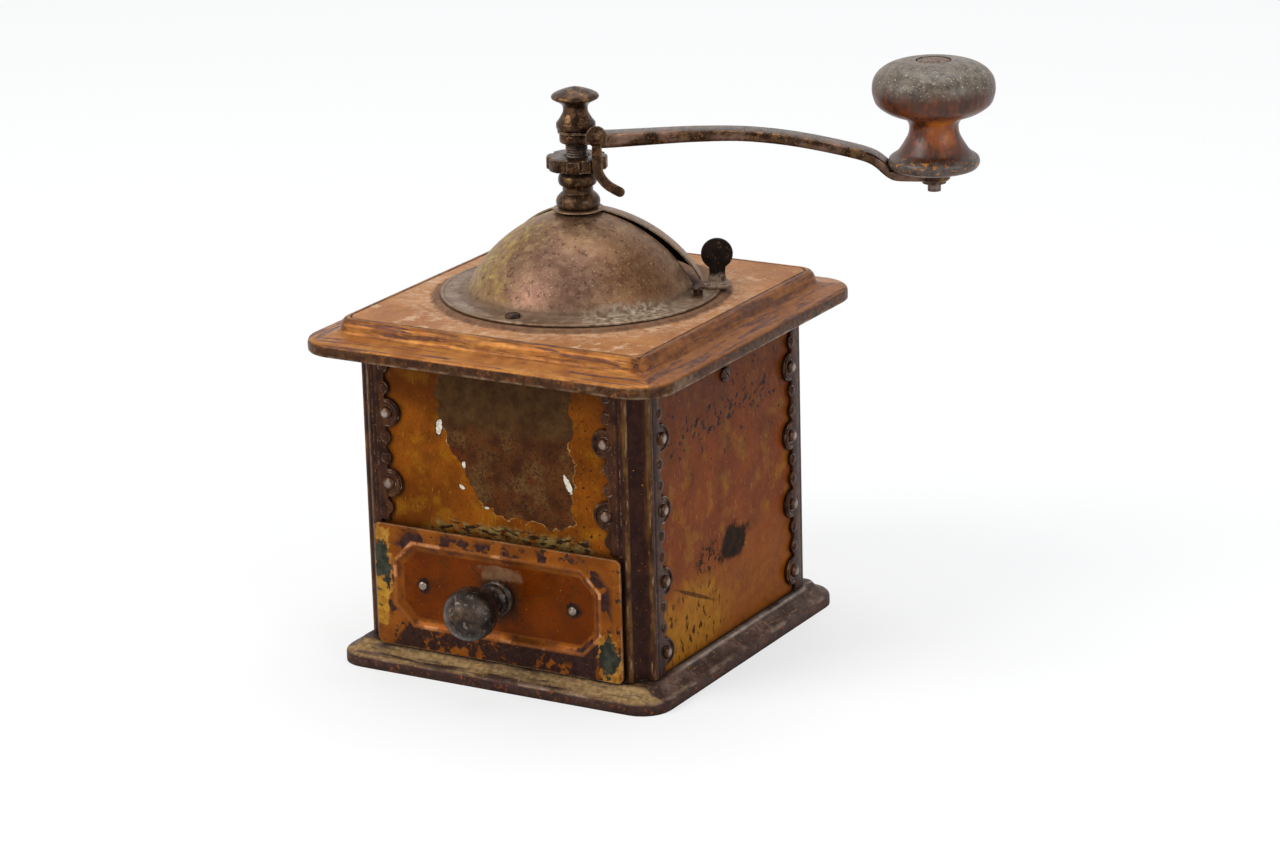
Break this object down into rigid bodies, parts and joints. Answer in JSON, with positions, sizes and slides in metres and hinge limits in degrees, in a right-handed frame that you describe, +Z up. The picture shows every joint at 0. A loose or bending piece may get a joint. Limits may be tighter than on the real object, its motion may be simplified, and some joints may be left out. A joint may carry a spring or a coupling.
{
  "type": "manual coffee grinder",
  "caption": "Hand-cranked box coffee mill: square sheet-metal body with fluted corners, domed hopper with a turning door, arched crank with a turned knob, and a drawer for the grounds.",
  "frame": {"origin": "centre of the underside of the base plate, on the spindle's axis", "axes": "+Z up along the crank spindle, -Y out through the drawer's front, +X to the right of someone who faces the drawer"},
  "size_m": [0.1986, 0.157, 0.1999],
  "materials": {
    "plinth_steel": "worn, rusty",
    "strip_steel": "worn, dark purple-brown",
    "body_paint": "worn ochre paint",
    "drawer_paint": "worn orange-brown paint",
    "lid_paint": "worn orange and tan paint",
    "dome_sheet": "bronze-brown patina",
    "ironwork": "dark oxidised",
    "burr_iron": "cut teeth",
    "inner_steel": "dull",
    "bright_steel": "turned",
    "fixings": "rust-browned",
    "knob_wood": "polished by use"
  },
  "bodies": {
    "mill": {"base_plinth": "plinth_steel", "bottom_plate": "plinth_steel", "body_front": "body_paint", "body_back": "body_paint", "body_left": "body_paint", "body_right": "body_paint", "corner_strip_front_right": "strip_steel", "corner_strip_front_left": "strip_steel", "corner_strip_back_right": "strip_steel", "corner_strip_back_left": "strip_steel", "side_screw_right": "fixings", "side_screw_left": "fixings", "lid_anchor_right": "fixings", "lid_anchor_left": "fixings", "lid": "lid_paint", "dome_shell": "dome_sheet", "dome_screw_front": "fixings", "dome_screw_right": "fixings", "dome_screw_left": "fixings", "dome_nut_front": "fixings", "dome_nut_right": "fixings", "dome_nut_left": "fixings", "hopper_bowl": "inner_steel", "upper_bridge": "inner_steel", "neck_bearing": "ironwork", "burr_ring": "burr_iron", "burr_bridge": "inner_steel", "bridge_screw_right": "fixings", "bridge_screw_left": "fixings", "thrust_spring": "bright_steel", "spring_washer": "bright_steel"},
    "crank": {"spindle": "bright_steel", "inner_burr": "burr_iron", "burr_nut": "fixings", "crank_arm": "ironwork", "finial_nut": "ironwork", "pawl_ring": "ironwork", "knob_pin": "ironwork", "pin_washer": "ironwork"},
    "hand_knob": {"knob": "knob_wood", "knob_plug": "knob_wood"},
    "nut": {"adjusting_nut": "ironwork"},
    "pawl": {"pawl_finger": "ironwork"},
    "door": {"door_shell": "dome_sheet", "door_thumb": "dome_sheet"},
    "drawer": {"drawer_tray": "inner_steel", "drawer_front": "drawer_paint", "drawer_knob": "ironwork", "drawer_knob_screw": "fixings", "drawer_rivet_right": "fixings", "drawer_rivet_left": "fixings"}
  },
  "joints": [
    {"name": "crank_turn", "type": "hinge", "parent": "mill", "child": "crank", "pos_m": [0, 0, 0.1733], "axis": [0, 0, 1], "continuous": true},
    {"name": "knob_spin", "type": "hinge", "parent": "crank", "child": "hand_knob", "pos_m": [0.10978, 0.04435, 0.1635], "axis": [0, 0, 1], "continuous": true},
    {"name": "nut_adjust", "type": "hinge", "parent": "crank", "child": "nut", "pos_m": [0, 0, 0.165], "axis": [0, 0, 1], "range_deg": [-360, 360]},
    {"name": "pawl_flex", "type": "hinge", "parent": "crank", "child": "pawl", "pos_m": [0.01046, -0.00452, 0.17563], "axis": [-0.866, -0.5, 0], "range_deg": [0, 12], "stiffness_Nm_per_rad": 0.02},
    {"name": "door_swing", "type": "hinge", "parent": "mill", "child": "door", "pos_m": [0, 0, 0.149], "axis": [0, 0, 1], "range_deg": [-5, 105]},
    {"name": "drawer_slide", "type": "slide", "parent": "mill", "child": "drawer", "axis": [0, -1, 0], "range_m": [0, 0.09]}
  ]
}
